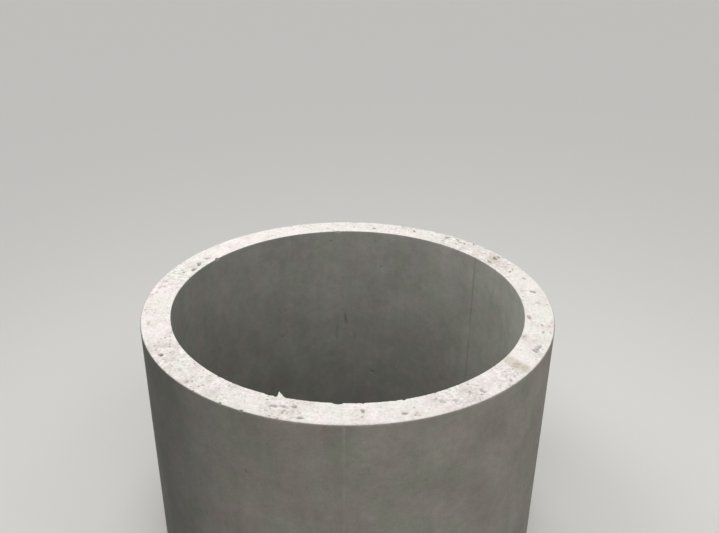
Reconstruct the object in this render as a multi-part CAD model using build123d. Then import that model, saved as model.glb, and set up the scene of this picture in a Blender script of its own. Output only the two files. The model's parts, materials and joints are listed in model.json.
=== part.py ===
from build123d import *
import os

# Concrete sewer pipe: a short length with plain ends, cast upright in a steel
# mould as one piece and standing on end. Millimetres, +Z up along the bore,
# origin at the centre of the foot. Angles are turned about the bore from +X.

# Wall section
BORE = 900.0
WALL = 75.0
HEIGHT = 700.0

# Edges. The rim was struck off and trowelled by hand, which rounded its edges.
# The foot took the small chamfers of the mould's base ring.
RIM_INNER_ROUNDING = 4.0
RIM_OUTER_ROUNDING = 6.0
FOOT_CHAMFER = 3.0

# Fins on the outside, where the two halves of the outer mould met
FIN_COUNT = 2
FIN_ANGLE = -90.0
FIN_WIDTH = 8.0
FIN_TIP_WIDTH = 4.0
FIN_PROUD = 1.5

# Groove down the inside, left by the closing strip of the inner mould
GROOVE_ANGLE = 36.0
GROOVE_WIDTH = 9.0
GROOVE_FLOOR_WIDTH = 5.0
GROOVE_DEPTH = 2.5

bore_radius = BORE / 2
outer_radius = bore_radius + WALL


def turned_wall():
    """The wall's upright section, with its four eased edges, turned about the bore."""
    section = Pos(bore_radius + WALL / 2, HEIGHT / 2) * Rectangle(WALL, HEIGHT)
    foot_corners = section.vertices().group_by(Axis.Y)[0]
    section = chamfer(foot_corners, FOOT_CHAMFER)
    inner_corner = section.vertices().group_by(Axis.Y)[-1].sort_by(Axis.X)[0]
    section = fillet(inner_corner, RIM_INNER_ROUNDING)
    outer_corner = section.vertices().group_by(Axis.Y)[-1].sort_by(Axis.X)[-1]
    section = fillet(outer_corner, RIM_OUTER_ROUNDING)
    return revolve(Plane.XZ * section, Axis.Z)


def seam_fin():
    """One fin on the +Y side, from the foot's chamfer to the rim's rounding.

    Its four flanks slope, and they run on into the wall as far as it stands proud.
    """
    flank = (FIN_WIDTH - FIN_TIP_WIDTH) / 2
    length = HEIGHT - FOOT_CHAMFER - RIM_OUTER_ROUNDING
    root_width = FIN_WIDTH + 2 * flank
    root_length = length + 2 * flank
    fin = Wedge(
        root_width, 2 * FIN_PROUD, root_length,
        2 * flank, 2 * flank, root_width - 2 * flank, root_length - 2 * flank,
    )
    return Pos(0, outer_radius, FOOT_CHAMFER + length / 2) * fin


def seam_groove():
    """The space of the groove on the +Y side, wider towards the bore and past both ends."""
    flank = (GROOVE_WIDTH - GROOVE_FLOOR_WIDTH) / 2
    mouth_width = GROOVE_WIDTH + 2 * flank
    length = HEIGHT + 2 * GROOVE_DEPTH
    space = Wedge(
        mouth_width, 2 * GROOVE_DEPTH, length,
        2 * flank, 0, mouth_width - 2 * flank, length,
    )
    return Pos(0, bore_radius, HEIGHT / 2) * space


def swung_to(angle, piece):
    """A piece made on the +Y side, turned about the bore to its angle."""
    return Rot(0, 0, angle - 90) * piece


pipe = turned_wall()
for index in range(FIN_COUNT):
    pipe += swung_to(FIN_ANGLE + index * 360 / FIN_COUNT, seam_fin())
pipe -= swung_to(GROOVE_ANGLE, seam_groove())
pipe.label = "concrete_pipe"

os.makedirs("parts", exist_ok=True)
export_step(pipe, "parts/concrete_pipe.step")
print("outer diameter", 2 * outer_radius, "mm, volume", round(pipe.volume / 1e9, 5), "cubic metres")
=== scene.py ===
# %% [markdown]
# # A concrete sewer pipe, cast in one piece
# The real pipe is a short, thick ring of concrete. It was cast upright in a steel mould, struck off and
# trowelled by hand at the top, and left to stand on end in the open. Its size and its smooth shape come from
# the frame. This lesson gives it the skin of the real one: eased and chipped edges, pits, mould seams, and
# two finishes that the same concrete took, one from the mould and one from the trowel.

# %% Load the frame
import json
import math

import bmesh
import bpy
import numpy as np
from mathutils import Matrix, Vector


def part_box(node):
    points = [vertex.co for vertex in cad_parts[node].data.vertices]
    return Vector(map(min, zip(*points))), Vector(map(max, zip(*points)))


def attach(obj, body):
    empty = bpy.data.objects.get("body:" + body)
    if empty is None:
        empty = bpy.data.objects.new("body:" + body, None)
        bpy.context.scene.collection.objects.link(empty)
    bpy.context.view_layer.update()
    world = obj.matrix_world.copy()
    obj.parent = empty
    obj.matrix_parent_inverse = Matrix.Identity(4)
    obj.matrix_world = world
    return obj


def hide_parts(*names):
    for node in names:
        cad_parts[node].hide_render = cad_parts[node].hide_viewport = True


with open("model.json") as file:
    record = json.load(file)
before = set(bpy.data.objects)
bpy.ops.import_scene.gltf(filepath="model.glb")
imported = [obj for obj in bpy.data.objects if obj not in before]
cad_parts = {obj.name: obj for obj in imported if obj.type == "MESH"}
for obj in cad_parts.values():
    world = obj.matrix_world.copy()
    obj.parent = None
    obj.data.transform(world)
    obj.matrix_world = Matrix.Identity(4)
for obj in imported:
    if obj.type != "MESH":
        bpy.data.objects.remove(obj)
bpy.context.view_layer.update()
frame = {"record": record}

# %% [markdown]
# ## The casting's sizes
# The real pipe is 1050 mm across and 700 mm high, with a bore of 900 mm. These could be typed in again, but
# a size that is written twice can come to differ. So the outer radius and the height are read from the
# frame, and the bore from the mount that the record gives. The outer mould's fins stand on the Y sides, so
# the X side gives the plain wall. The edges and the seams are too small to read from a box, so they are
# repeated here at their real size.

# %% Sizes, in metres
MM = 0.001
_, casting_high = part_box("concrete_pipe")
bore_mount = next(mount for mount in frame["record"]["mounts"] if mount["name"] == "bore")
BORE_RADIUS = bore_mount["dims"]["r_mm"] * MM
OUTER_RADIUS = casting_high.x
HEIGHT = casting_high.z
RIM_INNER_ROUNDING = 4 * MM
RIM_OUTER_ROUNDING = 6 * MM
FOOT_CHAMFER = 3 * MM
print("bore radius", BORE_RADIUS, "outer radius", OUTER_RADIUS, "height", HEIGHT)

# %% Mould seams: fins outside and a groove down the bore
FIN_ANGLES = (-90, 90)
FIN_HALF_WIDTH = 4 * MM
FIN_HALF_TIP = 2 * MM
FIN_PROUD = 1.5 * MM
GROOVE_ANGLE = 36
GROOVE_HALF_WIDTH = 4.5 * MM
GROOVE_HALF_FLOOR = 2.5 * MM
GROOVE_DEPTH = 2.5 * MM
print("fins at", FIN_ANGLES, "degrees, groove at", GROOVE_ANGLE, "degrees")

# %% [markdown]
# ## The camera
# The photograph was taken at eye level, looking down into the bore. A camera could be turned by eye until
# the picture fits, but this one also places the pits and chips, so it has to be right to a pixel. It is a
# pinhole camera that was fitted to the rim's two ellipses. Its three axes are written out, because a line
# from it through a pixel then meets the rim, or a wall, at one point.

# %% Camera
PHOTO_WIDTH, PHOTO_HEIGHT = 719, 533
FOCAL_LENGTH_PIXELS = 768.5
SENSOR_WIDTH_MM = 36
CAMERA_PLACE = Vector((0.028, -1.759, 1.649))
CAMERA_PITCH = math.radians(25.9)
CAMERA_ROLL = math.radians(0.6)

look = Vector((0, math.cos(CAMERA_PITCH), -math.sin(CAMERA_PITCH)))
level_right = Vector((1, 0, 0))
level_up = level_right.cross(look)
right = math.cos(CAMERA_ROLL) * level_right + math.sin(CAMERA_ROLL) * level_up
up = math.cos(CAMERA_ROLL) * level_up - math.sin(CAMERA_ROLL) * level_right

camera_data = bpy.data.cameras.new("eye_level_camera")
camera_data.sensor_width = SENSOR_WIDTH_MM
camera_data.lens = SENSOR_WIDTH_MM * FOCAL_LENGTH_PIXELS / PHOTO_WIDTH
camera = bpy.data.objects.new("eye_level_camera", camera_data)
camera.matrix_world = Matrix.Translation(CAMERA_PLACE) @ Matrix((right, up, -look)).transposed().to_4x4()
bpy.context.scene.collection.objects.link(camera)
bpy.context.scene.camera = camera
print("lens", round(camera_data.lens, 2), "mm")

# %% [markdown]
# ## The wall's section as one line
# The pipe is a turned shape: one section of wall, all the way round. It could be put together from cylinders
# with bevelled edges, but then a mark that crosses an edge would have to be fitted to two faces. Here the
# whole skin comes from one line, the outline of the wall's section. It starts in the middle of the foot,
# runs out and up the outside, over the rim and down the bore. Each place on the skin then has two plain
# numbers, its angle about the bore and its way along this line, and every pit, chip and seam is laid out
# with them before anything is bent into a pipe.

# %% Outline of the section
ARC_STEPS = 12


def quarter_arc(centre_radius, centre_height, rounding, start_degrees):
    """A rounded edge of the section, as points a quarter turn on from start_degrees."""
    turns = [math.radians(start_degrees + 90 * step / ARC_STEPS) for step in range(ARC_STEPS + 1)]
    return [
        (centre_radius + rounding * math.cos(turn), centre_height + rounding * math.sin(turn))
        for turn in turns
    ]


foot_middle = (BORE_RADIUS + OUTER_RADIUS) / 2
outer_arris = quarter_arc(
    OUTER_RADIUS - RIM_OUTER_ROUNDING, HEIGHT - RIM_OUTER_ROUNDING, RIM_OUTER_ROUNDING, 0
)
bore_arris = quarter_arc(
    BORE_RADIUS + RIM_INNER_ROUNDING, HEIGHT - RIM_INNER_ROUNDING, RIM_INNER_ROUNDING, 90
)
stretches = {
    "foot, outer half": [(foot_middle, 0), (OUTER_RADIUS - FOOT_CHAMFER, 0)],
    "outer foot edge": [(OUTER_RADIUS - FOOT_CHAMFER, 0), (OUTER_RADIUS, FOOT_CHAMFER)],
    "outer wall": [(OUTER_RADIUS, FOOT_CHAMFER), outer_arris[0]],
    "outer arris": outer_arris,
    "rim": [outer_arris[-1], bore_arris[0]],
    "bore arris": bore_arris,
    "bore wall": [bore_arris[-1], (BORE_RADIUS, FOOT_CHAMFER)],
    "bore foot edge": [(BORE_RADIUS, FOOT_CHAMFER), (BORE_RADIUS + FOOT_CHAMFER, 0)],
    "foot, bore half": [(BORE_RADIUS + FOOT_CHAMFER, 0), (foot_middle, 0)],
}

# %% Way along the outline
outline, way, starts, ends = [], [], {}, {}
travelled = 0.0
for name, points in stretches.items():
    starts[name] = travelled
    for index, point in enumerate(points):
        if index:
            travelled += math.dist(points[index - 1], point)
        outline.append(point)
        way.append(travelled)
    ends[name] = travelled
outline = np.array(outline)
print("the outline is", round(travelled, 3), "m long, and the rim lies at", round(starts["rim"], 3))


def section_point(along):
    """Radius and height of the smooth skin at each way along the outline."""
    return np.interp(along, way, outline[:, 0]), np.interp(along, way, outline[:, 1])


def section_normal(along, step=0.3 * MM):
    """Outward direction of the smooth skin, in radius and height, taken over a short step."""
    radius_before, height_before = section_point(along - step)
    radius_after, height_after = section_point(along + step)
    out, rise = height_after - height_before, radius_before - radius_after
    length = np.hypot(out, rise)
    return out / length, rise / length


# %% [markdown]
# ## Marks of the rim
# The trowelled rim is the part that the light picks out, so its marks are the ones that the eye knows the
# pipe by: small air pits, chips along both edges, and a spur of mortar that squeezed into the bore. They
# could be scattered at random, but that would make another pipe. So they are placed one by one, each at the
# pixel that shows it. A pit has its width and height in pixels as well, and its depth in millimetres, and
# the camera turns those into its true outline on the rim.

# %% Pits of the rim, as (pixel x, pixel y, pixels wide, pixels tall, depth in mm)
LEFT_PITS = [
    (148.3, 322.3, 4.5, 3.5, 1.4), (159.0, 301.0, 3, 3, 0.8), (156.4, 291.5, 3.5, 3, 1.5),
    (152.3, 294.0, 3, 2.5, 1.5), (159.5, 287.0, 3, 2.5, 1.2), (165.0, 291.0, 3, 2.5, 0.7),
    (165.6, 280.8, 2.5, 2.5, 1.5), (171.5, 277.0, 4, 2, 0.8), (183.5, 271.8, 3, 2.5, 2.0),
    (181.2, 280.5, 3, 2, 0.7), (188.0, 275.0, 3, 2, 0.7), (193.7, 269.0, 6, 2.5, 4.0),
    (199.0, 263.2, 5, 4, 4.0), (207.5, 257.6, 6, 3, 1.6), (163.3, 308.6, 2.5, 2, 0.7),
    (155.4, 309.0, 2.5, 2, 0.7), (170.7, 332.0, 2.5, 2.5, 1.5), (170.5, 339.2, 2.5, 2.5, 1.2),
    (154.4, 345.3, 5, 2, 1.5), (148.0, 340.0, 2.5, 2.5, 0.7), (160.6, 354.2, 6, 3, 4.5),
    (156.5, 359.0, 3, 2, 1.0), (167.0, 352.0, 3, 2.5, 0.8), (179.7, 369.5, 6, 3, 1.5),
    (197.0, 365.7, 3, 2.5, 1.0), (168.5, 372.3, 3, 2, 1.2), (185.8, 381.5, 6, 4, 1.2),
    (194.0, 388.0, 3, 2, 1.0), (215.4, 383.0, 3, 2, 0.7), (229.4, 384.8, 3, 2, 0.7),
    (244.9, 396.2, 3, 2, 1.0), (247.7, 402.3, 2.5, 2, 0.8), (237.4, 243.5, 4, 1.5, 0.7),
]
NEAR_PITS = [
    (260.3, 402.6, 2.5, 2, 0.8), (272.4, 397.4, 2.5, 2, 1.2), (273.5, 405.3, 10, 3.2, 2.2),
    (284.2, 406.0, 7.5, 3, 2.0), (294.2, 406.3, 6.5, 3, 2.4), (286.8, 402.0, 3, 2, 1.0),
    (281.9, 410.9, 3, 2.5, 1.8), (286.8, 413.5, 2.5, 2, 1.0), (300.0, 417.2, 7, 3, 3.2),
    (329.0, 406.8, 6, 1.5, 0.6), (332.0, 418.0, 7, 1.2, 0.6), (355.7, 406.5, 4, 1.5, 1.2),
    (362.8, 410.3, 5, 4, 4.0), (380.4, 406.5, 2.5, 2, 0.9), (385.0, 410.3, 3, 1.5, 0.6),
    (404.8, 412.6, 9, 2.4, 3.4), (417.0, 412.5, 1.5, 4, 1.2), (429.8, 408.5, 2.5, 2, 1.0),
    (435.5, 398.7, 3, 2, 1.2), (442.4, 400.6, 6, 4.5, 1.6), (447.0, 393.8, 2.5, 2, 1.0),
    (452.2, 395.8, 2.5, 2, 1.0), (455.8, 399.9, 5, 4.5, 1.5), (439.0, 408.5, 2.5, 2, 0.8),
    (471.7, 392.4, 3, 2.5, 1.6), (472.8, 400.4, 2.5, 2, 1.0), (482.2, 389.9, 5, 5.5, 2.1),
    (500.8, 387.2, 3, 2, 1.2), (506.6, 377.0, 3, 2.5, 1.2), (511.0, 379.0, 3, 5, 2.0),
]
RIGHT_PITS = [
    (535.0, 350.0, 5.5, 4.2, 2.4), (537.3, 348.2, 5, 3.8, 2.4), (539.4, 346.3, 5.5, 4.2, 2.4),
    (523.8, 335.8, 6, 4, 1.0), (543.6, 331.5, 3, 2.5, 2.2), (550.6, 332.4, 2.5, 2.5, 1.5),
    (542.7, 325.2, 2.5, 2.5, 1.2), (539.7, 316.7, 3, 2, 0.7), (529.2, 316.4, 5.5, 4.2, 2.6),
    (537.9, 302.1, 6, 4, 1.2), (533.3, 291.5, 5.5, 3.4, 4.5), (522.1, 290.6, 2.5, 2, 1.0),
    (526.4, 290.0, 2.5, 2, 1.0), (524.0, 277.7, 4, 2.5, 2.2), (516.2, 273.9, 3, 2, 0.8),
    (510.2, 271.0, 2.5, 2.5, 2.0), (508.0, 263.4, 2.5, 2, 1.0), (501.9, 270.1, 2.5, 2, 0.8),
    (497.1, 263.9, 2.5, 2, 1.0), (494.7, 257.7, 5, 3, 3.0), (489.4, 261.0, 4.5, 3, 2.4),
    (498.5, 256.7, 4, 2.5, 2.2),
]
FAR_PITS = [
    (457.9, 239.7, 3.5, 2, 3.0), (461.2, 241.9, 3, 1.8, 2.5), (464.5, 243.0, 3.5, 1.8, 2.5),
    (464.1, 247.1, 2.5, 1.8, 0.8), (455.5, 243.2, 3, 1.5, 1.0), (447.8, 236.9, 8, 2.2, 2.5),
    (422.3, 231.8, 3, 1.5, 0.7), (414.3, 230.5, 3, 2.2, 3.0), (396.1, 228.2, 2, 3, 1.2),
    (374.3, 227.9, 5, 1.8, 3.0), (338.0, 224.5, 4, 1.5, 1.0), (327.8, 228.0, 4, 1.5, 0.8),
    (293.7, 228.5, 4, 1.5, 0.8),
]
PITS = LEFT_PITS + NEAR_PITS + RIGHT_PITS + FAR_PITS
print(len(PITS), "pits")

# %% Chips of the rim's edges, as (pixel x, pixel y, half length in mm, how far it is worn back in mm)
OUTER_CHIPS = [
    (355.0, 221.5, 13, 8), (386.0, 223.0, 7, 6), (404.4, 225.3, 8, 9), (412.0, 227.0, 7, 7),
    (421.7, 228.0, 8, 7), (438.0, 231.5, 9, 6), (458.0, 235.5, 9, 8), (463.6, 238.0, 4, 5),
    (469.5, 241.0, 12, 9), (476.1, 243.5, 8, 12), (481.0, 246.0, 3, 5), (486.6, 248.5, 10, 8),
    (493.0, 251.5, 4, 6), (498.5, 254.5, 9, 5), (165.4, 374.9, 7, 4), (191.0, 391.0, 5, 5),
    (218.4, 403.7, 7, 6), (239.7, 410.6, 7, 6), (300.0, 419.5, 7, 5), (416.0, 420.5, 6, 4),
    (431.0, 417.0, 6, 4), (181.0, 263.5, 8, 7), (207.0, 249.5, 7, 6), (527.0, 276.0, 7, 5),
]
BORE_CHIPS = [
    (337.8, 403.5, 14, 6), (362.6, 402.0, 5, 4), (207.8, 368.8, 7, 3), (219.0, 375.4, 6, 3.5),
    (234.0, 382.0, 5, 3), (269.5, 393.0, 14, 5), (275.6, 394.6, 5, 5), (395.0, 399.8, 6, 4),
    (404.0, 398.5, 6, 5), (214.6, 257.2, 9, 9), (338.0, 230.8, 12, 6),
]
MORTAR_SPUR_PIXEL = (280.0, 395.8)
print(len(OUTER_CHIPS), "chips outside and", len(BORE_CHIPS), "in the bore")

# %% Stains and speckled stretches of the rim, as (pixel x, pixel y, pixels wide, pixels tall, strength)
STAINS = [
    (510.0, 360.5, 14, 11, 0.5), (517.5, 364.0, 14, 11, 0.75), (525.0, 367.5, 12, 10, 0.7),
    (494.0, 259.0, 14, 9, 0.5), (477.5, 252.0, 9, 10, 0.2), (172.0, 357.0, 12, 18, 0.15),
    (417.0, 412.0, 6, 7, 0.3), (524.0, 336.0, 8, 6, 0.2), (197.0, 266.0, 14, 8, 0.15),
]
SPECKLED_STRETCHES = [
    (172, 356, 60, 60, 1), (215, 386, 80, 40, 0.7), (282, 404, 60, 34, 1), (462, 394, 70, 44, 0.9),
    (509, 376, 34, 40, 1), (188, 273, 60, 44, 1), (497, 262, 50, 40, 1), (455, 240, 60, 26, 1),
    (540, 347, 24, 24, 0.8), (395, 227, 50, 16, 0.7),
]
print(len(STAINS), "stains and", len(SPECKLED_STRETCHES), "speckled stretches")


# %% Lay the marks out on the rim
def sight_line(pixel_x, pixel_y):
    """Direction from the camera through a pixel of the photograph."""
    across = (pixel_x - PHOTO_WIDTH / 2) / FOCAL_LENGTH_PIXELS
    upward = (PHOTO_HEIGHT / 2 - pixel_y) / FOCAL_LENGTH_PIXELS
    return look + across * right + upward * up


def rim_place(pixel_x, pixel_y):
    """Place in plan, in metres, of the rim's point that a pixel of the photograph shows."""
    ray = sight_line(pixel_x, pixel_y)
    point = CAMERA_PLACE + ray * (HEIGHT - CAMERA_PLACE.z) / ray.z
    return point.x, point.y


def rim_angle(pixel_x, pixel_y):
    """Angle about the bore of the rim's point that a pixel shows."""
    x, y = rim_place(pixel_x, pixel_y)
    return math.atan2(y, x)


def rim_oval(pixel_x, pixel_y, wide, tall, value):
    """Centre and two half sizes, in plan, of the oval of the rim that fills so many pixels."""
    x, y = rim_place(pixel_x, pixel_y)
    half_x = abs(rim_place(pixel_x + wide / 2, pixel_y)[0] - x)
    half_y = abs(rim_place(pixel_x, pixel_y + tall / 2)[1] - y)
    return x, y, half_x, half_y, value


pits = [rim_oval(*pit) for pit in PITS]
stains = [rim_oval(*stain) for stain in STAINS]
stretches_with_speckles = [rim_oval(*stretch) for stretch in SPECKLED_STRETCHES]
outer_chips = [(rim_angle(x, y), half * MM, back * MM) for x, y, half, back in OUTER_CHIPS]
bore_chips = [(rim_angle(x, y), half * MM, back * MM) for x, y, half, back in BORE_CHIPS]
spur_angle = rim_angle(*MORTAR_SPUR_PIXEL)
widest_pit = 2 * max(half_x for _, _, half_x, _, _ in pits)
print("the widest pit is", round(widest_pit / MM, 1), "mm wide")

# %% [markdown]
# ## Air holes of the walls
# Concrete that is cast against steel keeps small round air holes, a few millimetres wide, where bubbles
# stuck to the mould. The photograph shows only the largest, and a few upright scrapes, so those are placed
# one by one, where the line through a pixel meets the wall. The small ones could be dots in the material,
# but a real hollow has a lit lip from every side, so they are holes too, scattered from a fixed seed.

# %% Marks of the walls, as (pixel x, pixel y, pixels wide, pixels tall, depth in mm)
OUTER_WALL_MARKS = [
    (245.7, 471.7, 3.4, 4.5, 1.6), (180.0, 473.5, 2.4, 3.5, 1.2), (368.5, 470.5, 2.4, 3, 1.0),
    (448.5, 470.0, 3, 2.6, 1.0), (205.0, 446.0, 2.2, 2.6, 1.0), (311.0, 441.0, 2.2, 2.6, 0.8),
]
BORE_WALL_MARKS = [
    (345.5, 320.5, 4.4, 13, 2.0), (337.0, 333.0, 4.5, 17, 0.8), (354.0, 335.0, 4.5, 12, 0.5),
    (381.0, 267.0, 3, 3.5, 1.0), (372.0, 371.5, 4, 3.5, 1.4), (303.0, 283.0, 2.5, 3, 0.8),
]


# %% Lay the marks out on the walls
def wall_place(pixel_x, pixel_y, radius, side):
    """Angle and height of a wall's point that a pixel shows: side is -1 for the near wall, 1 for the far."""
    ray = sight_line(pixel_x, pixel_y)
    level_ray, level_place = ray.xy, CAMERA_PLACE.xy
    half_way = -level_ray.dot(level_place) / level_ray.length_squared
    spare = (radius**2 - level_place.length_squared) / level_ray.length_squared + half_way**2
    point = CAMERA_PLACE + (half_way + side * math.sqrt(spare)) * ray
    return math.atan2(point.y, point.x), point.z


def wall_oval(mark, radius, side):
    """Angle, way, half width, half length and depth, in metres, of a mark given in pixels."""
    pixel_x, pixel_y, wide, tall, depth_mm = mark
    turn, place_height = wall_place(pixel_x, pixel_y, radius, side)
    half_width = abs(wall_place(pixel_x + wide / 2, pixel_y, radius, side)[0] - turn) * radius
    half_length = abs(wall_place(pixel_x, pixel_y + tall / 2, radius, side)[1] - place_height)
    if side < 0:
        up_the_wall = starts["outer wall"] + place_height - FOOT_CHAMFER
    else:
        up_the_wall = ends["bore wall"] - place_height + FOOT_CHAMFER
    return turn, up_the_wall, half_width, half_length, depth_mm * MM


holes = [wall_oval(mark, OUTER_RADIUS, -1) for mark in OUTER_WALL_MARKS]
holes += [wall_oval(mark, BORE_RADIUS, 1) for mark in BORE_WALL_MARKS]
print(len(holes), "larger marks on the walls")

# %% Scatter the small air holes, as (angle, way, half width, half length, depth)
chance = np.random.default_rng(900)
HOLES_PER_WALL = 75
LEAST_RADIUS_MM, MOST_RADIUS_MM = 1.5, 4.0
MOSTLY_SMALL = 3
HOLE_DEPTH_SHARE = 0.55
HOLE_CLEAR_OF_EDGE = 20 * MM
for wall in ("outer wall", "bore wall"):
    for _ in range(HOLES_PER_WALL):
        share = chance.random() ** MOSTLY_SMALL
        hole_radius = (LEAST_RADIUS_MM + (MOST_RADIUS_MM - LEAST_RADIUS_MM) * share) * MM
        turn = chance.uniform(-math.pi, math.pi)
        up_the_wall = chance.uniform(starts[wall] + HOLE_CLEAR_OF_EDGE, ends[wall] - HOLE_CLEAR_OF_EDGE)
        holes.append((turn, up_the_wall, hole_radius, hole_radius, HOLE_DEPTH_SHARE * hole_radius))
print(len(holes), "air holes and larger marks")

# %% [markdown]
# ## A mesh that is fine only where it has to be
# A pit of the rim is a few millimetres wide, on a pipe of a metre. A grid fine enough for it all over, or a
# modifier that splits every face, would take millions of faces. Instead the skin is first laid out as a tube
# whose height is the way along the outline, in coarse cells. Then the cells near the rim, and near each
# mark, are split in four, a few times over, each time in a smaller area. Columns run exactly along the
# flanks of the mould seams, and rows close beside the foot's chamfers, so that those stay crisp with no
# splitting at all.

# %% Columns and rows of the coarse tube
COLUMNS = 144
ROWS = {
    "foot, outer half": 2, "outer foot edge": 1, "outer wall": 32, "outer arris": 1, "rim": 3,
    "bore arris": 1, "bore wall": 32, "bore foot edge": 1, "foot, bore half": 2,
}
ROW_BESIDE_EDGE = 2 * MM

column_angles = {round(-math.pi + 2 * math.pi * column / COLUMNS, 6) for column in range(COLUMNS)}
for degrees in FIN_ANGLES:
    for offset in (FIN_HALF_WIDTH, FIN_HALF_TIP):
        column_angles |= {math.radians(degrees) + side * offset / OUTER_RADIUS for side in (-1, 1)}
for offset in (GROOVE_HALF_WIDTH, GROOVE_HALF_FLOOR):
    column_angles |= {math.radians(GROOVE_ANGLE) + side * offset / BORE_RADIUS for side in (-1, 1)}
column_angles = sorted(column_angles)

row_ways = [0.0]
for name, count in ROWS.items():
    row_ways += list(np.linspace(starts[name], ends[name], count + 1)[1:])
for edge in ("outer foot edge", "bore foot edge"):
    row_ways += [starts[edge] - ROW_BESIDE_EDGE, ends[edge] + ROW_BESIDE_EDGE]
row_ways.sort()
print(len(column_angles), "columns and", len(row_ways), "rows")

# %% Coarse tube
tube = bmesh.new()
grid = [
    [tube.verts.new((math.cos(turn), math.sin(turn), row_way)) for turn in column_angles]
    for row_way in row_ways
]
for lower, upper in zip(grid, grid[1:]):
    for column in range(len(column_angles)):
        after = (column + 1) % len(column_angles)
        tube.faces.new((lower[column], lower[after], upper[after], upper[column]))
print("coarse tube:", len(tube.faces), "faces")


# %% Split near the rim and near the marks
def turned_by(angle):
    """An angle brought between minus and plus half a turn."""
    return (angle + math.pi) % (2 * math.pi) - math.pi


def sheet_places(sheet_parts):
    """Angle about the bore and way along the outline of each place on the tube."""
    places = np.array(sheet_parts)
    return np.arctan2(places[:, 1], places[:, 0]), places[:, 2]


def split_where(sheet, choose):
    """Splits in four the faces that a test of their angle and way chooses."""
    wanted = choose(*sheet_places([face.calc_center_median() for face in sheet.faces]))
    edges = {edge for face, want in zip(sheet.faces, wanted) if want for edge in face.edges}
    bmesh.ops.subdivide_edges(
        sheet, edges=list(edges), cuts=1, use_grid_fill=True, use_single_edge=True
    )
    bmesh.ops.triangulate(sheet, faces=[face for face in sheet.faces if len(face.verts) > 4])
    print("split to", len(sheet.faces), "faces")


def by_rim_or_hole(rim_margin, hole_margin):
    """A test for what lies within a margin of the rim or of an air hole's edge."""
    def choose(angle, along):
        wanted = (along > starts["outer arris"] - rim_margin) & (along < ends["bore arris"] + rim_margin)
        radius = section_point(along)[0]
        for turn, up_the_wall, half_width, half_length, _ in holes:
            aside = turned_by(angle - turn) * radius / (half_width + hole_margin)
            wanted |= np.hypot(aside, (along - up_the_wall) / (half_length + hole_margin)) < 1
        return wanted
    return choose


MARK_MARGIN = 1.5 * MM
EDGE_BAND = 8 * MM


def by_rim_mark(angle, along):
    """A test for what lies by a pit of the rim or by a chip of its edges."""
    radius = section_point(along)[0]
    x, y = radius * np.cos(angle), radius * np.sin(angle)
    above = (along > starts["outer arris"] - EDGE_BAND) & (along < ends["bore arris"] + EDGE_BAND)
    wanted = np.zeros(len(angle), bool)
    for pit_x, pit_y, half_x, half_y, _ in pits:
        across, ahead = (x - pit_x) / (half_x + MARK_MARGIN), (y - pit_y) / (half_y + MARK_MARGIN)
        wanted |= np.hypot(across, ahead) < 1
    for chips, edge_radius in ((outer_chips, OUTER_RADIUS), (bore_chips, BORE_RADIUS)):
        for turn, half_length, back in chips:
            by_the_edge = np.abs(radius - edge_radius) < back + MARK_MARGIN
            wanted |= by_the_edge & (np.abs(turned_by(angle - turn)) * radius < half_length + MARK_MARGIN)
    return wanted & above


# %% Split, each time in a smaller area, as (how far from the rim, how far from an air hole)
SPLIT_ROUNDS = ((40 * MM, 18 * MM), (14 * MM, 8 * MM), (0, 3 * MM))
for rim_margin, hole_margin in SPLIT_ROUNDS:
    split_where(tube, by_rim_or_hole(rim_margin, hole_margin))
split_where(tube, by_rim_mark)

# %% [markdown]
# ## Relief
# The real skin is never quite smooth: the steel mould was a little out of true, the trowel left ripples, and
# air left hollows. A bump map could fake that, but it would be flat in the outline and lost from the mesh.
# So every vertex gets one number: how far it stands out of, or lies in, the smooth skin. It is added up from
# plain functions of the angle and the way. Nothing stands proud of the smooth skin but the fins, so the pipe
# keeps its size.

# %% Where each vertex is
angle, along = sheet_places([vertex.co for vertex in tube.verts])
radius, height = section_point(along)
plan_x, plan_y = radius * np.cos(angle), radius * np.sin(angle)
print(len(angle), "vertices")


# %% Soft random fields and soft bands
def waves(count, least_turns, most_turns, longest, seed):
    """A smooth random field, mostly from -1 to 1: waves about the pipe and along the outline, summed."""
    draw = np.random.default_rng(seed)
    total = np.zeros(len(angle))
    for _ in range(count):
        turns = draw.integers(least_turns, most_turns + 1)
        slope = draw.uniform(-1, 1) * 2 * math.pi / longest
        total += np.cos(turns * angle + slope * along + draw.uniform(0, 2 * math.pi))
    return total / math.sqrt(count)


def near(start, end, fade):
    """1 between two ways along the outline, fading to 0 outside them."""
    rise = np.clip((along - start) / fade + 1, 0, 1) * np.clip((end - along) / fade + 1, 0, 1)
    return rise * rise * (3 - 2 * rise)


# %% Pits and air holes
# Each hollow is a little oval and a little three-lobed, turned by a random number of radians
OVAL_SHARE, LOBE_SHARE = 0.2, 0.12
PHASES = (0, 6)
BOWL_FLATNESS = 0.7
# Dust and painted shade in hollows: darker the deeper they are, up to this depth
DARK_WHEN_DEEP = 3 * MM
WALL_HOLE_DARKEST = 0.5


def bowl(aside, upward, draw):
    """How far inside a rounded, uneven hollow each vertex lies, from 0 at its lip to 1 in its middle."""
    bearing = np.arctan2(upward, aside)
    oval = OVAL_SHARE * np.sin(2 * bearing + draw.uniform(*PHASES))
    lobes = LOBE_SHARE * np.sin(3 * bearing + draw.uniform(*PHASES))
    return np.clip(1 - (np.hypot(aside, upward) / (1 + oval + lobes)) ** 2, 0, 1)


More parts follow.
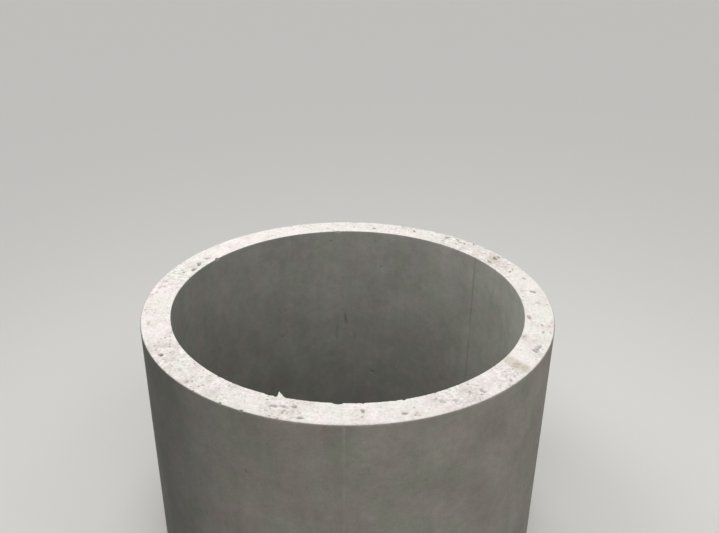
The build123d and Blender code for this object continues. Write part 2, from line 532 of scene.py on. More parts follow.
top_face = near(starts["outer arris"], ends["bore arris"], 4 * MM)
draw = np.random.default_rng(5)
# hollow_shade holds dust and painted shade, darkest in the middle of a deep hollow
hollow_depth, hollow_shade = np.zeros(len(angle)), np.zeros(len(angle))
for pit_x, pit_y, half_x, half_y, depth_mm in pits:
    inside = top_face * bowl((plan_x - pit_x) / half_x, (plan_y - pit_y) / half_y, draw)
    hollow_depth = np.maximum(hollow_depth, depth_mm * MM * inside ** BOWL_FLATNESS)
    hollow_shade = np.maximum(hollow_shade, np.sqrt(inside) * min(1, depth_mm * MM / DARK_WHEN_DEEP))
for turn, up_the_wall, half_width, half_length, depth in holes:
    aside = turned_by(angle - turn) * radius
    inside = bowl(aside / half_width, (along - up_the_wall) / half_length, draw)
    hollow_depth = np.maximum(hollow_depth, depth * inside ** BOWL_FLATNESS)
    hollow_shade = np.maximum(hollow_shade, inside * min(WALL_HOLE_DARKEST, depth / DARK_WHEN_DEEP))
print("deepest hollow", round(hollow_depth.max() / MM, 1), "mm")

# %% Waves of the mould and ripples of the trowel
WALL_WAVE = 0.35 * MM
RIM_RIPPLE = 0.5 * MM
MIDDLE_OF_WAVE, TOP_OF_WAVE = 1.5, 3


def lifted(field):
    """A random field raised until almost none of it is below 0, so that it only cuts into the skin."""
    return np.clip(MIDDLE_OF_WAVE + field, 0, TOP_OF_WAVE)


mould_waves = lifted(waves(count=20, least_turns=2, most_turns=14, longest=0.5, seed=1))
trowel_ripples = lifted(waves(count=40, least_turns=15, most_turns=110, longest=0.04, seed=2))
standing_part = near(starts["outer foot edge"], ends["bore foot edge"], 3 * MM)
relief = -WALL_WAVE * mould_waves * standing_part
relief -= RIM_RIPPLE * trowel_ripples * near(starts["rim"], ends["rim"], 3 * MM)
relief -= hollow_depth
print("hollows and waves are", round(-relief.min() / MM, 2), "mm deep at most")

# %% [markdown]
# ## Mould seams
# Mortar squeezed between the two halves of the outer mould and left a fin down each side. In the bore a
# closing strip left a groove. Either could be modelled as a separate strip, but on a casting it is one skin
# with the wall, so both are a step in the relief, along columns of the mesh. The fins are worn down almost
# everywhere, and the groove is partly filled with mortar, because the real ones can barely be seen. Shade is
# painted in the groove where it is shallow, since only its deep stretches hold a shadow of their own.

# %% How much of the seams is left
FIN_LEFT, FIN_LEFT_VARIES, FIN_LEFT_LEAST = 0.14, 0.22, 0.03
GROOVE_OPEN, GROOVE_OPEN_VARIES, GROOVE_OPEN_LIMITS = 0.35, 0.15, (0.15, 0.65)
GROOVE_PAINTED_SHADE, PAINTED_SHADE_LESS_WHEN_OPEN = 0.5, 0.75
SEAM_END = 1 * MM


def seam(degrees, half_width, half_flat):
    """How far up a seam's flank each vertex lies: 0 outside the seam and 1 along its flat middle."""
    aside = np.abs(turned_by(angle - math.radians(degrees))) * radius
    return np.clip((half_width - aside) / (half_width - half_flat), 0, 1)


# %% Fins
outer_wall_only = near(starts["outer wall"], ends["outer wall"], SEAM_END)
fin = np.zeros(len(angle))
for degrees in FIN_ANGLES:
    fin = np.maximum(fin, seam(degrees, FIN_HALF_WIDTH, FIN_HALF_TIP) * outer_wall_only)
fin_left = FIN_LEFT + FIN_LEFT_VARIES * waves(count=24, least_turns=1, most_turns=3, longest=0.12, seed=8)
fin_left = np.clip(fin_left, FIN_LEFT_LEAST, 1)
relief = relief * (1 - fin) + FIN_PROUD * fin_left * fin
print("the fins stand", round(relief.max() / MM, 2), "mm proud at most")

# %% Groove
bore_side_only = near(starts["bore arris"], ends["bore foot edge"], SEAM_END)
groove = seam(GROOVE_ANGLE, GROOVE_HALF_WIDTH, GROOVE_HALF_FLOOR) * bore_side_only
groove_open = GROOVE_OPEN + GROOVE_OPEN_VARIES * waves(
    count=24, least_turns=1, most_turns=3, longest=0.1, seed=9
)
groove_open = np.clip(groove_open, *GROOVE_OPEN_LIMITS)
relief -= GROOVE_DEPTH * groove_open * groove
# Painted shade in the groove, strongest where it is shallow
groove_painted_shade = (GROOVE_PAINTED_SHADE - PAINTED_SHADE_LESS_WHEN_OPEN * groove_open) * groove
hollow_shade = np.maximum(hollow_shade, groove_painted_shade)
print("the groove is", round((GROOVE_DEPTH * groove_open * groove).max() / MM, 2), "mm deep at most")

# %% [markdown]
# ## Worn edges
# A concrete edge doesn't end in a clean line: it crumbles when the mould comes off. A bevel would ease it
# evenly, and cutting tools would leave a torn mesh. Here each edge is cut back by a slope of 45 degrees
# whose width changes with the angle: a little everywhere, and much more at a chip. A vertex in front of that
# slope is moved back onto it, level and down by the same amount.

# %% Cut the edges back
OUTER_ROUGHNESS, BORE_ROUGHNESS = 1.3 * MM, 1.1 * MM
ROUGHNESS_KEPT_BACK = 0.5
ROUGHNESS_IN_CHIPS = 0.3
CHIP_FLATNESS = 0.6
# A slope of 45 degrees that just touches a rounding of radius 1 starts this far from the sharp corner
TOUCHES_THE_ROUNDING = 2 - math.sqrt(2)


def worn_back(chips, rounding, roughness, seed):
    """Width of the worn slope at each angle: ragged all round, and wider in the middle of a chip."""
    plain = rounding * TOUCHES_THE_ROUNDING - ROUGHNESS_KEPT_BACK * roughness
    ragged = waves(count=70, least_turns=30, most_turns=420, longest=math.inf, seed=seed)
    crumbled = waves(count=9, least_turns=150, most_turns=420, longest=math.inf, seed=seed + 1)
    back = plain + roughness * ragged
    chipped = np.zeros(len(angle))
    for turn, half_length, deepest in chips:
        share = np.clip(1 - (turned_by(angle - turn) * radius / half_length) ** 2, 0, 1)
        chip = deepest * share ** CHIP_FLATNESS + ROUGHNESS_IN_CHIPS * roughness * crumbled
        back = np.maximum(back, chip)
        chipped = np.maximum(chipped, share)
    return back, chipped


below = HEIGHT - height
outer_back, outer_chipped = worn_back(outer_chips, RIM_OUTER_ROUNDING, OUTER_ROUGHNESS, 3)
bore_back, bore_chipped = worn_back(bore_chips, RIM_INNER_ROUNDING, BORE_ROUGHNESS, 4)
outer_cut = np.clip(outer_back - (OUTER_RADIUS - radius) - below, 0, None) / 2
bore_cut = np.clip(bore_back - (radius - BORE_RADIUS) - below, 0, None) / 2
print("worn back by", round(max(outer_cut.max(), bore_cut.max()) / MM, 1), "mm at most")

# %% [markdown]
# ## Mortar spur
# In one place a little mortar squeezed over the edge of the bore and set as a thin, leaning spur, steep on
# its left and sloping on its right. It could be a loose cone, but it grew out of the edge, so the vertices
# of the bore's arris are drawn out towards the axis to make it.

# %% Draw the spur out of the edge
SPUR_LENGTH = 18 * MM
SPUR_LEFT_SIDE, SPUR_RIGHT_SIDE = 5 * MM, 11 * MM
SPUR_LEAN = 9.5 * MM
SPUR_HALF_THICKNESS = 5 * MM
SPUR_BLUNT_TIP, SPUR_POINTEDNESS = 1.1, 1.3
bore_arris_middle = (starts["bore arris"] + ends["bore arris"]) / 2
aside = turned_by(angle - spur_angle) * radius
sideways = np.where(aside < 0, -aside / SPUR_LEFT_SIDE, aside / SPUR_RIGHT_SIDE)
upright = np.abs(along - bore_arris_middle) / SPUR_HALF_THICKNESS
spur = np.clip(SPUR_BLUNT_TIP - sideways, 0, 1) ** SPUR_POINTEDNESS * np.clip(1 - upright**2, 0, 1)
print("the spur draws out", int((spur > 0).sum()), "vertices")

# %% [markdown]
# ## From the tube to the pipe
# On the real pipe rim, walls and foot are one skin, so the model is one closed mesh as well. The relief is
# added along the skin's outward direction, and each vertex is turned about the bore to its angle. A
# modifier could bend it, but here relief, chips and bend are one formula, with nothing left to apply. The
# tube's two open ends both come down in the middle of the foot, where they are joined.

# %% Bend the tube into the pipe
ON_THE_FLOOR = 1e-6
out, rise = section_normal(along)
skin_radius = radius + relief * out - outer_cut + bore_cut - SPUR_LENGTH * spur
skin_angle = angle - SPUR_LEAN * spur / radius
skin_height = height + relief * rise - outer_cut - bore_cut
skin_height = np.where(height < ON_THE_FLOOR, np.maximum(skin_height, 0), skin_height)
skin = np.stack([skin_radius * np.cos(skin_angle), skin_radius * np.sin(skin_angle), skin_height], axis=1)
for vertex, place in zip(tube.verts, skin):
    vertex.co = place
print("bent to a radius from", round(skin_radius.min(), 4), "to", round(skin_radius.max(), 4))

# %% [markdown]
# ## Numbers that the vertices carry
# A trowelled rim, a chip, a stain and a wall with painted light and shade are one concrete that looks
# different from place to place. The places could be painted on by hand, but they are known already from the
# marks. So seven numbers go along with the vertices, for the material: how much painted light and shade each
# has, how much painted cool tint of shade, how far it belongs to the trowelled face, how much dust and
# painted shade it has in a hollow or a chip, how stained and how speckled it is, and how far up a fin. The
# bore has painted shade that grows towards its foot and painted light on its right side, and the outside has
# painted shade on its left.

# %% Painted light and shade on the walls
# Painted light on the bore's right side, and painted shade on the outside's left and down the bore
PAINTED_LIGHT_SIDE, PAINTED_LIGHT_SPREAD = math.radians(5), math.radians(52)
SHADED_SIDE, SHADED_SPREAD = math.radians(-148), math.radians(24)
OUTSIDE_PAINTED_SHADE = 1.5
BORE_PAINTED_SHADE_AT_RIM, BORE_PAINTED_SHADE_GAINED, BORE_PAINTED_SHADE_GAINED_OVER = 0.3, 0.5, 0.55
BORE_PAINTED_LIGHT = 2.1


def side_facing(middle, spread):
    """1 on one side of the pipe, fading away around it."""
    return np.exp(-(turned_by(angle - middle) / spread) ** 2)


in_the_bore = along > ends["rim"]
shaded_side = side_facing(SHADED_SIDE, SHADED_SPREAD)
# Painted shade all through the bore, growing towards its foot, less the painted light on its right side
bore_painted_light_and_shade = BORE_PAINTED_SHADE_AT_RIM + BORE_PAINTED_SHADE_GAINED * np.clip(below / BORE_PAINTED_SHADE_GAINED_OVER, 0, 1)
bore_painted_light_and_shade -= BORE_PAINTED_LIGHT * side_facing(PAINTED_LIGHT_SIDE, PAINTED_LIGHT_SPREAD)
# Above 0 this is painted shade, below 0 painted light
painted_light_and_shade = np.where(in_the_bore, bore_painted_light_and_shade, OUTSIDE_PAINTED_SHADE * shaded_side)
print("damp from", round(painted_light_and_shade.min(), 2), "to", round(painted_light_and_shade.max(), 2))


# %% Numbers for the material
ARRIS_FADE = 1.5 * MM
OVAL_MIDDLE, OVAL_FALL = 1.6, 1.3
# Chips lose some cream, and BROKEN_SHADE is painted shade in them
BROKEN_LOSES_CREAM, BROKEN_SHADE = 0.7, 0.35


def soft_ovals(ovals):
    """Strength at each vertex of ovals that fade out towards their lips."""
    strength = np.zeros(len(angle))
    for centre_x, centre_y, half_x, half_y, value in ovals:
        reach = np.hypot((plan_x - centre_x) / half_x, (plan_y - centre_y) / half_y)
        strength = np.maximum(strength, value * np.clip(OVAL_MIDDLE - OVAL_FALL * reach, 0, 1))
    return strength


outer_arris_middle = (starts["outer arris"] + ends["outer arris"]) / 2
trowelled = near(outer_arris_middle, bore_arris_middle, ARRIS_FADE)
freshly_broken = np.clip(np.maximum(outer_cut * outer_chipped, bore_cut * bore_chipped) / MM, 0, 1)
numbers = {
    "painted_light_and_shade": painted_light_and_shade,
    # Painted cool tint of shade: all through the bore, and on the outside's shaded side
    "painted_shade_tint": np.where(in_the_bore, 1, shaded_side),
    "trowelled": trowelled * (1 - BROKEN_LOSES_CREAM * freshly_broken),
    "hollow": np.maximum(hollow_shade, BROKEN_SHADE * freshly_broken),
    "stain": soft_ovals(stains) * top_face,
    "speckled": soft_ovals(stretches_with_speckles) * top_face,
    "seam": fin,
}
for name, values in numbers.items():
    layer = tube.verts.layers.float.new(name)
    for vertex, value in zip(tube.verts, values):
        vertex[layer] = float(value)
print("numbers carried:", ", ".join(numbers))

# %% Close the skin and measure it
JOIN_WITHIN = 0.05 * MM
SHARP_EDGE = math.radians(50)
foot_verts = [vertex for vertex in tube.verts if vertex.is_boundary]
bmesh.ops.remove_doubles(tube, verts=foot_verts, dist=JOIN_WITHIN)
bmesh.ops.recalc_face_normals(tube, faces=tube.faces)
open_edges = sum(edge.is_boundary for edge in tube.edges)
casting_mesh = bpy.data.meshes.new("pipe_casting")
tube.to_mesh(casting_mesh)
tube.free()

for polygon in casting_mesh.polygons:
    polygon.use_smooth = True
casting_mesh.set_sharp_from_angle(angle=SHARP_EDGE)
casting = bpy.data.objects.new("pipe_casting", casting_mesh)
bpy.context.scene.collection.objects.link(casting)
triangles = sum(len(polygon.vertices) - 2 for polygon in casting_mesh.polygons)
print("the skin has", triangles, "triangles and", open_edges, "open edges")

# %% [markdown]
# ## Colours and nodes
# The colour of concrete is that of its cement, and never one flat grey. A picture of it could be wrapped
# round the pipe, but it would repeat, and blur close up, so the finishes are built up from soft patterns.
# Colours are written as sRGB hex values, the way a picture shows them, and one function turns them to the
# linear values that the shader works in. One more function adds a node with its settings and its links, so
# that each finish below reads as a list of what it is made of. It fills an input by the name that Blender
# shows, or by its number where names repeat, and takes a node for the first output that it has in use.


# %% Helpers for materials
def colour(hex_value):
    """A hex colour, as a picture shows it, in the linear values of the shader."""
    channels = [int(hex_value[start:start + 2], 16) / 255 for start in (0, 2, 4)]
    return [c / 12.92 if c <= 0.04045 else ((c + 0.055) / 1.055) ** 2.4 for c in channels] + [1.0]


def in_use(sockets, name=None):
    """The first of a node's sockets in use, or the first in use that has a name."""
    return next(socket for socket in sockets if socket.enabled and name in (None, socket.name))


def add_node(tree, kind, inputs=None, **settings):
    """Adds a node of a kind, sets it up, and fills its inputs with links or values."""
    node = tree.nodes.new("ShaderNode" + kind)
    for name, value in settings.items():
        setattr(node, name, value)
    for key, value in (inputs or {}).items():
        socket = node.inputs[key] if isinstance(key, int) else in_use(node.inputs, key)
        if isinstance(value, bpy.types.Node):
            value = in_use(value.outputs)
        if isinstance(value, bpy.types.NodeSocket):
            tree.links.new(value, socket)
        else:
            socket.default_value = value
    return node


# %% Patterns at their real size
MM_PER_METRE = 1000
NOISE_SPREAD = {"From Min": 0.3, "From Max": 0.7}


def per_metre(size_mm):
    """Scale of a noise whose patches are about this wide."""
    return MM_PER_METRE / size_mm


def varied(tree, amount, patterns):
    """An amount times each of some noises, given with the least and the most that it makes of it."""
    for pattern, least, most in patterns:
        share = add_node(tree, "MapRange", {
            "Value": pattern, "To Min": least, "To Max": most, **NOISE_SPREAD,
        })
        amount = add_node(tree, "Math", {0: amount, 1: share}, operation="MULTIPLY")
    return amount


# %% [markdown]
# ## The face that the mould formed
# The walls are grey concrete that was moulded: it set against oiled steel, which gives the eye a smooth,
# dense and matte skin. One flat grey would look like plastic. The real grey isn't even: patches dry at their
# own pace, the skin of cement is mottled, a little water has run down it, and the cement varies from warm to
# greenish. Under that lies the grain of the sand. Each of these is a soft noise at its own real size, and
# the running water is the same noise pulled long in the upright direction. On top of that, painted shade
# darkens some places and painted light brightens others, and a painted cool tint of shade lies in the bore
# and on the shaded side, as the vertices' numbers say.

# %% Formed face: colours and sizes
FORMED_GREY = "9a968e"
FORMED_PALE = "aeaaa1"
FORMED_DAMP = "848179"
FORMED_WARM = "a1938d"
FORMED_GREENISH = "939585"
# Painted cool tint of shade, multiplied into the walls' grey
PAINTED_SHADE_TINT = "f6fcff"
EVEN_SHARE, TINT_SHARE = 0.3, 0.5
# The grain of the sand is about 1 mm wide, and is drawn as coarse as it needs to show
PATCH_MM, TINT_MM, STREAK_MM, SKIN_MM, SAND_MM = 110, 60, 30, 20, 3.5
STREAK_PULL = 0.08
RUN_TONES, SKIN_TONES, SAND_TONES = (0.965, 1.03), (0.93, 1.07), (0.93, 1.07)
# Painted light and shade: the tone falls by this much for each unit of it, and rises where it is below 0
PAINTED_SHADE_STRENGTH = 0.3
SAND_HEIGHT_MM = 0.25


# %% Formed face
def formed_grey(tree, position):
    """The grey of the walls: patches of drying, and cement from warm to greenish."""
    patches = add_node(tree, "TexNoise", {
        "Vector": position, "Scale": per_metre(PATCH_MM), "Detail": 7.0, "Roughness": 0.6,
    })
    tint = add_node(tree, "TexNoise", {
        "Vector": position, "W": 5.0, "Scale": per_metre(TINT_MM), "Detail": 4.0,
    }, noise_dimensions="4D")
    drying = add_node(tree, "MapRange", {"Value": patches, "From Min": 0.35, "From Max": 0.65})
    grey = add_node(tree, "Mix", {
        "Factor": drying, "A": colour(FORMED_DAMP), "B": colour(FORMED_PALE),
    }, data_type="RGBA")
    even = add_node(tree, "Mix", {
        "Factor": EVEN_SHARE, "A": grey, "B": colour(FORMED_GREY),
    }, data_type="RGBA")
    warmth = add_node(tree, "MapRange", {"Value": tint, "From Min": 0.4, "From Max": 0.6})
    hue = add_node(tree, "Mix", {
        "Factor": warmth, "A": colour(FORMED_GREENISH), "B": colour(FORMED_WARM),
    }, data_type="RGBA")
    return add_node(tree, "Mix", {"Factor": TINT_SHARE, "A": even, "B": hue}, data_type="RGBA")


def formed_face(tree, position, carried):
    """Colour and height, in millimetres, of concrete as the steel mould leaves it."""
    pulled = add_node(tree, "VectorMath", {0: position, 1: (1.0, 1.0, STREAK_PULL)}, operation="MULTIPLY")
    streaks = add_node(tree, "TexNoise", {"Vector": pulled, "Scale": per_metre(STREAK_MM), "Detail": 4.0})
    skin = add_node(tree, "TexNoise", {
        "Vector": position, "Scale": per_metre(SKIN_MM), "Detail": 4.0, "Roughness": 0.65,
    })
    sand = add_node(tree, "TexNoise", {"Vector": position, "Scale": per_metre(SAND_MM), "Detail": 2.0})
    # Painted light and shade, as a tone that multiplies the colour
    painted_light_and_shade_tone = add_node(tree, "Math", {
        0: carried["painted_light_and_shade"], 1: -PAINTED_SHADE_STRENGTH, 2: 1.0,
    }, operation="MULTIPLY_ADD")
    patterns = ((streaks, *RUN_TONES), (skin, *SKIN_TONES), (sand, *SAND_TONES))
    tone = varied(tree, painted_light_and_shade_tone, patterns)
    # Painted cool tint of shade
    shade_tinted = add_node(tree, "Mix", {
        "Factor": carried["painted_shade_tint"], "A": formed_grey(tree, position), "B": colour(PAINTED_SHADE_TINT),
    }, data_type="RGBA", blend_type="MULTIPLY")
    toned = add_node(tree, "VectorMath", {0: shade_tinted, "Scale": tone}, operation="SCALE")
    height = add_node(tree, "Math", {0: sand, 1: SAND_HEIGHT_MM}, operation="MULTIPLY")
    return toned, height


# %% [markdown]
# ## The face that the trowel left
# Working the top with a trowel brings up a cream of cement and fine sand, called laitance. It gives the eye
# an almost white, powdery face, with the trowel's drag running round the ring, and where the cream is thin
# it is speckled with grains and pinholes. Its near-white is partly the cream's own paleness and partly
# painted light of a sunlit top face. A plain noise would show no drag, so the drag is a noise in polar
# terms: fine across the rim and long around it. Its two directions come from the position itself, the unit
# direction from the axis and the distance to it, so it has no join.

# %% Trowelled face: colours and sizes
# Laitance and painted light: the rim's near-white is partly painted light of a sunlit top face
LAITANCE_AND_PAINTED_LIGHT = "ebe3e0"
WORN_LAITANCE_AND_PAINTED_LIGHT = "dcd4ce"
GREENISH_LAITANCE_AND_PAINTED_LIGHT = "e5e5dc"
GRAIN_DARK = "8f8881"
STAIN_BROWN = "b2a690"
CREAM_MM, DRAG_MM, POWDER_MM, GRAVEL_MM, DRAG_TURNS = 45, 4, 6, 9, 12
# Real pinholes are 1 to 2 mm wide, and are drawn about twice as wide, or they would be too fine to show
SPECK_SPACING_MM, SPECK_RADIUS_MM = 9, 2.6
POWDER_TONES, DRAG_TONES, STAIN_STRENGTHS = (0.86, 1.09), (0.955, 1.035), (0.35, 1.3)
POWDER_HEIGHT_MM, DRAG_HEIGHT_MM = 0.35, 0.4


# %% Drag of the trowel
def drag_of_the_trowel(tree, position):
    """A noise that is fine across the rim and long around it."""
    flat = add_node(tree, "VectorMath", {0: position, 1: (1.0, 1.0, 0.0)}, operation="MULTIPLY")
    outward = add_node(tree, "VectorMath", {0: flat}, operation="NORMALIZE")
    reach = add_node(tree, "VectorMath", {0: flat}, operation="LENGTH")
    around = add_node(tree, "VectorMath", {0: outward, "Scale": DRAG_TURNS}, operation="SCALE")
    across = add_node(tree, "Math", {0: reach, 1: per_metre(DRAG_MM)}, operation="MULTIPLY")
    upright = add_node(tree, "CombineXYZ", {"Z": across})
    polar = add_node(tree, "VectorMath", {0: around, 1: upright}, operation="ADD")
    return add_node(tree, "TexNoise", {"Vector": polar, "Scale": 1.0, "Detail": 2.0})


# %% Specks and gravel in the cream
def specks(tree, position, speckled, cream):
    """1 in the dark grains and pinholes, which crowd in the stretches that the mesh calls speckled."""
    cells = add_node(tree, "TexVoronoi", {"Vector": position, "Scale": per_metre(SPECK_SPACING_MM)})
    size = SPECK_RADIUS_MM / SPECK_SPACING_MM
    dot = add_node(tree, "MapRange", {
        "Value": cells.outputs["Distance"], "To Min": 1.0, "To Max": 0.0,
        "From Min": 0.5 * size, "From Max": 1.4 * size,
    })
    crowding = add_node(tree, "MapRange", {"Value": speckled, "To Min": 0.1, "To Max": 0.5})
    patchy = add_node(tree, "MapRange", {
        "Value": cream, "From Min": 0.4, "From Max": 0.6, "To Min": 0.5, "To Max": 1.3,
    })
    share = add_node(tree, "Math", {0: crowding, 1: patchy}, operation="MULTIPLY")
    lot = add_node(tree, "SeparateColor", {0: cells.outputs["Color"]})
    chosen = add_node(tree, "Math", {0: lot.outputs["Red"], 1: share}, operation="LESS_THAN")
    strength = add_node(tree, "MapRange", {"Value": lot.outputs["Green"], "To Min": 0.25, "To Max": 0.85})
    kept = add_node(tree, "Math", {0: dot, 1: chosen}, operation="MULTIPLY")
    return add_node(tree, "Math", {0: kept, 1: strength}, operation="MULTIPLY")


def gravel_through_the_cream(tree, position, speckled):
    """Lighter and darker where fine gravel shows through, in the speckled stretches only."""
    lumps = add_node(tree, "TexNoise", {"Vector": position, "Scale": per_metre(GRAVEL_MM), "Detail": 1.0})
    tone = add_node(tree, "MapRange", {
        "Value": lumps, "From Min": 0.35, "From Max": 0.65, "To Min": 0.84, "To Max": 1.07,
    })
    return add_node(tree, "Mix", {"Factor": speckled, "A": 1.0, "B": tone})


# %% Trowelled face
def laitance_and_painted_light(tree, position, cream):
    """The almost white cream, worn in patches and faintly greenish in others, partly painted light."""
    worn = add_node(tree, "MapRange", {"Value": cream, "From Min": 0.42, "From Max": 0.66})
    base = add_node(tree, "Mix", {
        "Factor": worn, "A": colour(LAITANCE_AND_PAINTED_LIGHT), "B": colour(WORN_LAITANCE_AND_PAINTED_LIGHT),
    }, data_type="RGBA")
    tint = add_node(tree, "TexNoise", {
        "Vector": position, "W": 2.0, "Scale": per_metre(CREAM_MM), "Detail": 1.0,
    }, noise_dimensions="4D")
    greenish = add_node(tree, "MapRange", {
        "Value": tint, "From Min": 0.45, "From Max": 0.62, "To Max": 0.8,
    })
    return add_node(tree, "Mix", {
        "Factor": greenish, "A": base, "B": colour(GREENISH_LAITANCE_AND_PAINTED_LIGHT),
    }, data_type="RGBA")


def trowelled_face(tree, position, carried):
    """Colour and height, in millimetres, of concrete that was worked with a trowel."""
    cream = add_node(tree, "TexNoise", {"Vector": position, "Scale": per_metre(CREAM_MM), "Detail": 5.0})
    powder = add_node(tree, "TexNoise", {"Vector": position, "Scale": per_metre(POWDER_MM), "Detail": 4.0})
    drag = drag_of_the_trowel(tree, position)
    speck = specks(tree, position, carried["speckled"], cream)
    gravel = gravel_through_the_cream(tree, position, carried["speckled"])
    tone = varied(tree, gravel, ((powder, *POWDER_TONES), (drag, *DRAG_TONES)))
    pale = laitance_and_painted_light(tree, position, cream)
    toned = add_node(tree, "VectorMath", {0: pale, "Scale": tone}, operation="SCALE")
    dotted = add_node(tree, "Mix", {"Factor": speck, "A": toned, "B": colour(GRAIN_DARK)}, data_type="RGBA")

    soaked = varied(tree, carried["stain"], ((powder, *STAIN_STRENGTHS),))
    brown = colour(STAIN_BROWN)
    stained = add_node(tree, "Mix", {"Factor": soaked, "A": dotted, "B": brown}, data_type="RGBA")
    powder_height = add_node(tree, "Math", {0: powder, 1: POWDER_HEIGHT_MM}, operation="MULTIPLY")
    drag_height = add_node(tree, "Math", {0: drag, 1: DRAG_HEIGHT_MM}, operation="MULTIPLY")
    raised = add_node(tree, "Math", {0: powder_height, 1: drag_height}, operation="ADD")
    return stained, add_node(tree, "Math", {0: raised, 1: speck}, operation="SUBTRACT")


# %% [markdown]
# ## One concrete, two finishes
# Both faces are the same casting. They could be two materials with a hard border between their faces, but
# laitance crumbles off an edge unevenly. So they are one material, cast concrete: a number stored on the
# mesh says how far a vertex belongs to the trowelled rim, and a fine noise breaks the border up. Hollows are
# drawn darker than what is around them, partly for the dust that they hold and partly as painted shade,
# chips and the groove carry painted shade, and a little lime has bloomed along the fins. As a mineral it has
# no metallic share, its IOR is about 1.5, and it is as rough as dry stone, so that it has no gloss from any
# side.

# %% Cast concrete
CEMENT_METALLIC = 0.0
CEMENT_IOR = 1.5
CEMENT_ROUGHNESS = 0.9
# Darkest tone of the dust and painted shade in hollows, chips and the groove
HOLLOW_SHADE = 0.38
SEAM_BLOOM = 0.1
SEAM_BLOOM_LENGTH_MM = 60
BORDER_CRUMB_MM = 4


def bloomed(tree, position, seam_number, formed):
    """The walls' colour with broken lengths of pale bloom along the fins."""
    lengths = add_node(tree, "TexNoise", {"Vector": position, "Scale": per_metre(SEAM_BLOOM_LENGTH_MM)})
    broken = add_node(tree, "MapRange", {
        "Value": lengths, "From Min": 0.45, "From Max": 0.7, "To Min": 0.0, "To Max": SEAM_BLOOM,
    })
    bloom = add_node(tree, "Math", {0: seam_number, 1: broken}, operation="MULTIPLY")
    return add_node(tree, "Mix", {"Factor": bloom, "A": formed, "B": colour(LAITANCE_AND_PAINTED_LIGHT)}, data_type="RGBA")


def cast_concrete():
    """Cement, sand and stone: matte all over, formed grey on the walls and trowelled pale on the rim."""
    material = bpy.data.materials.new("cast_concrete")
    material.use_nodes = True
    tree = material.node_tree
    tree.nodes.clear()
    position = add_node(tree, "TexCoord").outputs["Object"]
    carried = {
        name: add_node(tree, "Attribute", attribute_name=name).outputs["Fac"] for name in numbers
    }
    formed_colour, formed_height = formed_face(tree, position, carried)
    trowelled_colour, trowelled_height = trowelled_face(tree, position, carried)
    walls = bloomed(tree, position, carried["seam"], formed_colour)

    crumble = add_node(tree, "TexNoise", {
        "Vector": position, "Scale": per_metre(BORDER_CRUMB_MM), "Detail": 3.0,
    })
    uneven = add_node(tree, "Math", {0: carried["trowelled"], 1: crumble}, operation="ADD")
    mask = add_node(tree, "MapRange", {"Value": uneven, "From Min": 0.9, "From Max": 1.1})
    both = add_node(tree, "Mix", {"Factor": mask, "A": walls, "B": trowelled_colour}, data_type="RGBA")
    height = add_node(tree, "Mix", {"Factor": mask, "A": formed_height, "B": trowelled_height})

    # Dust and painted shade in hollows, and painted shade in chips and in the groove
    dust_and_painted_shade = add_node(tree, "MapRange", {
        "Value": carried["hollow"], "To Min": 1.0, "To Max": HOLLOW_SHADE,
    })
    dusty_and_shaded = add_node(tree, "VectorMath", {0: both, "Scale": dust_and_painted_shade}, operation="SCALE")
    bump = add_node(tree, "Bump", {"Height": height, "Strength": 1.0, "Distance": MM})
    surface = add_node(tree, "BsdfPrincipled", {
        "Base Color": dusty_and_shaded, "Normal": bump,
        "Metallic": CEMENT_METALLIC, "Roughness": CEMENT_ROUGHNESS, "IOR": CEMENT_IOR,
    })
    add_node(tree, "OutputMaterial", {"Surface": surface})
    print("cast concrete has", len(tree.nodes), "nodes")
    return material


casting_mesh.materials.append(cast_concrete())

# %% Join the casting to the frame
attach(casting, "root")
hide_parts("concrete_pipe")

# %% [markdown]
# ## Floor and light
# Out of doors the pipe is lit by a wide, bright sky. A studio shows its shape and its colours more plainly,
# so the floor is a sheet of pale paper, and the lamps are soft: an even sky, a box over the bore, one to the
# right, a broad fill from the front and a weak lamp from behind. To the camera the floor and the backdrop
# show their own pale grey. The floor throws back less light than that, so that the walls aren't lit from
# below, and the shadow of the pipe stays on it. The lamps are kept at the level at which a colour comes out
# about as it is written.

# %% Floor
PAPER_PALE = "e9e8e5"
PAPER_BOUNCE = "898988"
PAPER_HALF_SIZE = 40
PAPER_BELOW_FOOT = 0.5 * MM


def seen_directly(tree):
    """1 for what the camera sees, also in a mirror or through glass, and 0 for light on its way."""
    rays = add_node(tree, "LightPath").outputs
    mirrored = add_node(tree, "Math", {
        0: rays["Is Camera Ray"], 1: rays["Is Glossy Ray"],
    }, operation="MAXIMUM")
    return add_node(tree, "Math", {0: mirrored, 1: rays["Is Transmission Ray"]}, operation="MAXIMUM")


def studio_paper():
    """A matte sheet, pale to the camera and darker to the light that it throws back."""
    material = bpy.data.materials.new("studio_paper")
    material.use_nodes = True
    tree = material.node_tree
    surface = tree.nodes["Principled BSDF"]
    shown = add_node(tree, "Mix", {
        "Factor": seen_directly(tree), "A": colour(PAPER_BOUNCE), "B": colour(PAPER_PALE),
    }, data_type="RGBA")
    tree.links.new(in_use(shown.outputs), surface.inputs["Base Color"])
    surface.inputs["Roughness"].default_value = 1.0
    surface.inputs["Specular IOR Level"].default_value = 0.0
    return material


paper_mesh = bpy.data.meshes.new("studio_paper")
corners = [
    (x * PAPER_HALF_SIZE, y * PAPER_HALF_SIZE, -PAPER_BELOW_FOOT)
    for x, y in ((-1, -1), (1, -1), (1, 1), (-1, 1))
]
paper_mesh.from_pydata(corners, [], [(0, 1, 2, 3)])
paper_mesh.materials.append(studio_paper())
paper = bpy.data.objects.new("studio_paper", paper_mesh)
bpy.context.scene.collection.objects.link(paper)

# %% Sky
SKY_STRENGTH = 0.38
BACKDROP_PALE = "c8c7c4"

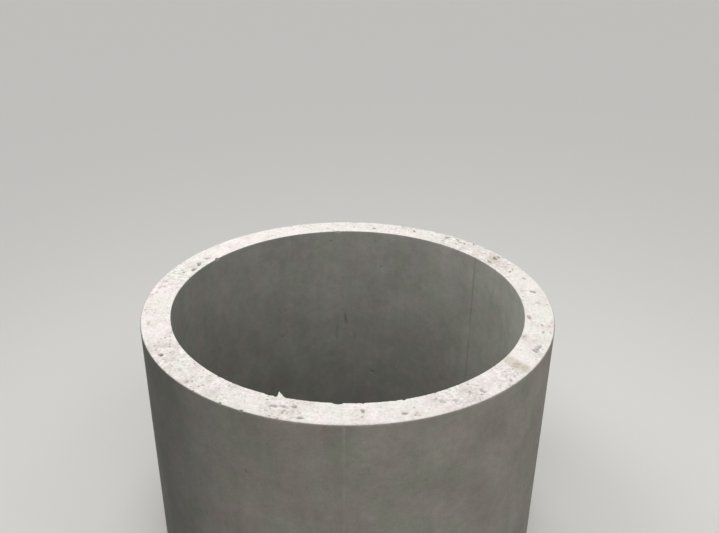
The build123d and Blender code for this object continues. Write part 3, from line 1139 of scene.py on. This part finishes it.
world = bpy.data.worlds.new("pale_studio")
world.use_nodes = True
world_tree = world.node_tree
world_tree.nodes.clear()
sky = add_node(world_tree, "Background", {"Color": (1.0, 1.0, 1.0, 1.0), "Strength": SKY_STRENGTH})
backdrop = add_node(world_tree, "Background", {"Color": colour(BACKDROP_PALE), "Strength": 1.0})
shown = add_node(world_tree, "MixShader", {0: seen_directly(world_tree), 1: sky, 2: backdrop})
add_node(world_tree, "OutputWorld", {"Surface": shown})
bpy.context.scene.world = world


# %% Lamps
def distant_lamp(name, right_of_ahead, height, spread, strength):
    """A lamp far off, placed by its angle to the right of straight ahead and its height, in degrees."""
    lamp_data = bpy.data.lights.new(name, "SUN")
    lamp_data.energy = strength
    lamp_data.angle = math.radians(spread)
    lamp = bpy.data.objects.new(name, lamp_data)
    turn, rise = math.radians(right_of_ahead), math.radians(height)
    towards = Vector((math.sin(turn) * math.cos(rise), math.cos(turn) * math.cos(rise), math.sin(rise)))
    lamp.rotation_euler = towards.to_track_quat("Z", "Y").to_euler()
    bpy.context.scene.collection.objects.link(lamp)
    return lamp


def soft_box(name, place, aim, size, watts):
    """A square soft box that hangs at a place, turned towards its aim."""
    box_data = bpy.data.lights.new(name, "AREA")
    box_data.shape = "SQUARE"
    box_data.size = size
    box_data.energy = watts
    box = bpy.data.objects.new(name, box_data)
    box.location = place
    box.rotation_euler = (Vector(place) - Vector(aim)).to_track_quat("Z", "Y").to_euler()
    bpy.context.scene.collection.objects.link(box)
    return box


soft_box("box_over_the_bore", place=(-0.45, 0.3, 2.0), aim=(0.45, 0.1, 0.4), size=0.8, watts=9.2)
soft_box("box_to_the_right", place=(0.9, -0.6, 2.4), aim=(0, 0, 0.5), size=1.0, watts=9)
distant_lamp("fill_lamp", right_of_ahead=172, height=45, spread=60, strength=0.8)
distant_lamp("back_lamp", right_of_ahead=-20, height=40, spread=30, strength=0.38)
bpy.context.scene.view_settings.view_transform = "Standard"
print("lamps:", ", ".join(sorted(lamp.name for lamp in bpy.data.lights)))
